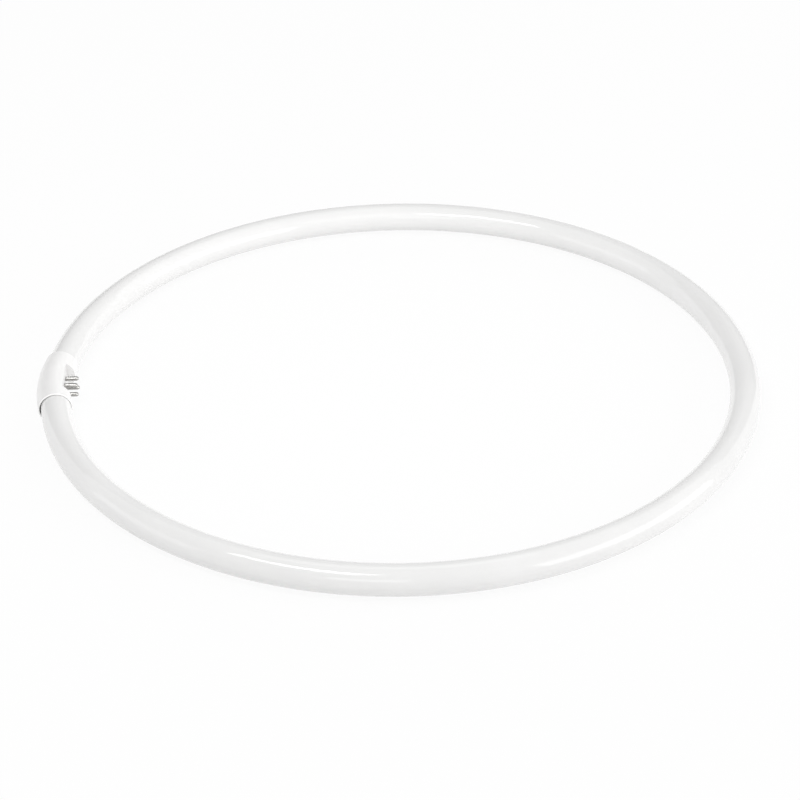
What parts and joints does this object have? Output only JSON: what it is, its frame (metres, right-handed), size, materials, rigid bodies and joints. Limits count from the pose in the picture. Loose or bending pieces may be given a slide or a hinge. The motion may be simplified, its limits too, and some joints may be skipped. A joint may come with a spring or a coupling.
{
  "type": "circular fluorescent tube",
  "caption": "Slim ring-shaped fluorescent lamp with a white coated glass tube and a small plastic base whose contact pins point to the ring's middle.",
  "frame": {"origin": "centre of the ring, in the plane of the tube's centre line", "axes": "+Z along the ring's axis, +X from the base at -X through the ring's centre, along the pins"},
  "size_m": [0.3804, 0.3778, 0.018],
  "materials": {
    "coated_glass": "clear glossy glass over a white powder coating",
    "base_plastic": "semi-gloss moulded white plastic",
    "pin_metal": "nickel-plated, drawn",
    "lead_metal": "dull nickel-plated wire"
  },
  "bodies": {
    "root": {"glass_tube": "coated_glass", "base_inner_shell": "base_plastic", "base_outer_shell": "base_plastic", "contact_pin_1": "pin_metal", "contact_pin_2": "pin_metal", "contact_pin_3": "pin_metal", "contact_pin_4": "pin_metal", "lead_wire_1": "lead_metal", "lead_wire_2": "lead_metal", "lead_wire_3": "lead_metal", "lead_wire_4": "lead_metal"}
  },
  "joints": []
}
